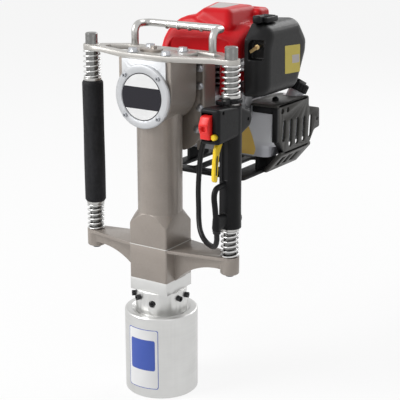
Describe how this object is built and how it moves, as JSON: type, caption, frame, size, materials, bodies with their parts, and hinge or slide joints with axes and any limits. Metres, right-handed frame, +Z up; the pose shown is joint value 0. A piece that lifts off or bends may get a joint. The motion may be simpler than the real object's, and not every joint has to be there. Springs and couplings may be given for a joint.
{
  "type": "petrol post driver",
  "caption": "Two-handed percussive driver with a round driving cup, sprung side handles and a small engine behind the column.",
  "frame": {"origin": "on the column's axis at the rim of the driving cup", "axes": "+Z up the column; the round front cover faces -Y, the engine is at +Y and the throttle handle at +X"},
  "size_m": [0.2995, 0.361, 0.6199],
  "materials": {
    "cup_aluminium": "satin",
    "black_steel": "satin",
    "tool_steel": "ground",
    "casting_paint": "fine satin metallic paint",
    "piston_alloy": "as cast",
    "plate_alloy": "fine machined",
    "zinc_bolts": "zinc plated",
    "polished_bar": "polished",
    "grip_rubber": "matt",
    "black_plastic": "moulded, fine grain",
    "guard_plastic": "moulded, satin",
    "red_plastic": "gloss",
    "yellow_plastic": "satin",
    "muffler_steel": "heat stained",
    "brass_plate": "plain",
    "tank_plastic": "translucent white",
    "rope_fibre": "braided"
  },
  "bodies": {
    "frame": {"driving_cup": "cup_aluminium", "neck_collar": "cup_aluminium", "neck_screws": "black_steel", "lower_casting": "casting_paint", "casting_gasket": "cup_aluminium", "upper_casting": "casting_paint", "cylinder_liner": "tool_steel", "ram_buffer": "grip_rubber", "drive_piston": "piston_alloy", "wrist_pin": "tool_steel", "connecting_rod": "tool_steel", "crankshaft": "tool_steel", "crank_bearing": "tool_steel", "reduction_gear": "tool_steel", "front_cover": "cup_aluminium", "front_cover_screws": "zinc_bolts", "top_plate": "plate_alloy", "plate_bolts": "zinc_bolts", "grease_cover": "casting_paint", "carry_handle": "polished_bar", "left_guide_rod": "polished_bar", "right_guide_rod": "polished_bar", "rod_screws": "black_steel", "left_lower_spring": "polished_bar", "left_upper_spring": "polished_bar", "right_lower_spring": "polished_bar", "right_upper_spring": "polished_bar", "throttle_cable": "grip_rubber", "clutch_housing": "casting_paint", "housing_bolts": "zinc_bolts", "clutch_drum": "tool_steel", "engine_block": "piston_alloy", "engine_cover": "red_plastic", "muffler": "muffler_steel", "carburettor": "piston_alloy", "air_cleaner_cover": "black_plastic", "fuel_tank": "tank_plastic", "tank_guard": "guard_plastic", "engine_pan": "black_plastic", "recoil_housing": "black_plastic", "starter_rope": "rope_fibre"},
    "left_handle": {"left_grip_tube": "polished_bar", "left_grip_rubber": "grip_rubber"},
    "right_handle": {"right_grip_tube": "polished_bar", "inner_grip_shell": "black_plastic", "outer_grip_shell": "black_plastic", "grip_ring_nut": "black_plastic", "cable_sleeve": "grip_rubber"},
    "trigger": {"throttle_trigger": "yellow_plastic"},
    "stop_switch": {"kill_switch": "red_plastic"},
    "lock_button": {"throttle_lock": "yellow_plastic"},
    "choke": {"choke_lever": "brass_plate"},
    "cap": {"fuel_cap": "black_plastic"},
    "cleaner_latch": {"air_cleaner_latch": "black_plastic"},
    "engine_rotor": {"engine_shaft": "tool_steel", "clutch_shoes": "tool_steel"},
    "pulley": {"starter_pulley": "tank_plastic"},
    "pull_grip": {"starter_grip": "black_plastic"},
    "ram": {"ram": "tool_steel"},
    "anvil": {"anvil": "tool_steel"}
  },
  "joints": [
    {"name": "left_handle_slide", "type": "slide", "parent": "frame", "child": "left_handle", "axis": [0, 0, 1], "range_m": [-0.012, 0.012], "stiffness_N_per_m": 6000, "deforming": ["left_lower_spring", "left_upper_spring"]},
    {"name": "right_handle_slide", "type": "slide", "parent": "frame", "child": "right_handle", "axis": [0, 0, 1], "range_m": [-0.012, 0.012], "stiffness_N_per_m": 6000, "deforming": ["right_lower_spring", "right_upper_spring", "throttle_cable"]},
    {"name": "throttle_trigger_pull", "type": "hinge", "parent": "right_handle", "child": "trigger", "pos_m": [0.132, -0.027, 0.448], "axis": [1, 0, 0], "range_deg": [0, 10], "stiffness_Nm_per_rad": 0.6},
    {"name": "stop_switch_rock", "type": "hinge", "parent": "right_handle", "child": "stop_switch", "pos_m": [0.132, -0.05, 0.4695], "axis": [1, 0, 0], "range_deg": [-5, 5]},
    {"name": "throttle_lock_push", "type": "slide", "parent": "right_handle", "child": "lock_button", "axis": [0, 1, 0], "range_m": [0, 0.003], "stiffness_N_per_m": 300},
    {"name": "choke_lever_turn", "type": "hinge", "parent": "frame", "child": "choke", "pos_m": [0.116, 0.102, 0.564], "axis": [0, 1, 0], "range_deg": [-50, 0]},
    {"name": "fuel_cap_turn", "type": "hinge", "parent": "frame", "child": "cap", "pos_m": [0.104, 0.256, 0.469], "axis": [0.2556, 0.3746, 0.8913], "range_deg": [0, 270]},
    {"name": "cleaner_latch_lift", "type": "hinge", "parent": "frame", "child": "cleaner_latch", "pos_m": [0.106, 0.162, 0.6084], "axis": [1, 0, 0], "range_deg": [-60, 0]},
    {"name": "engine_shaft_spin", "type": "hinge", "parent": "frame", "child": "engine_rotor", "pos_m": [0, 0.15, 0.452], "axis": [0, 1, 0], "continuous": true},
    {"name": "starter_grip_pull", "type": "slide", "parent": "frame", "child": "pull_grip", "axis": [0, 0, 1], "range_m": [0, 0.6], "stiffness_N_per_m": 8, "deforming": ["starter_rope"]},
    {"name": "starter_pulley_spin", "type": "hinge", "parent": "frame", "child": "pulley", "pos_m": [0, 0.252, 0.452], "axis": [0, 1, 0], "range_deg": [-5, 1150]},
    {"name": "ram_stroke", "type": "slide", "parent": "frame", "child": "ram", "axis": [0, 0, 1], "range_m": [0, 0.04]},
    {"name": "anvil_lift", "type": "slide", "parent": "frame", "child": "anvil", "axis": [0, 0, 1], "range_m": [0, 0.0075]}
  ],
  "couplings": [
    {"joint": "starter_pulley_spin", "follows": "starter_grip_pull", "rad_per_m": 33.333}
  ]
}
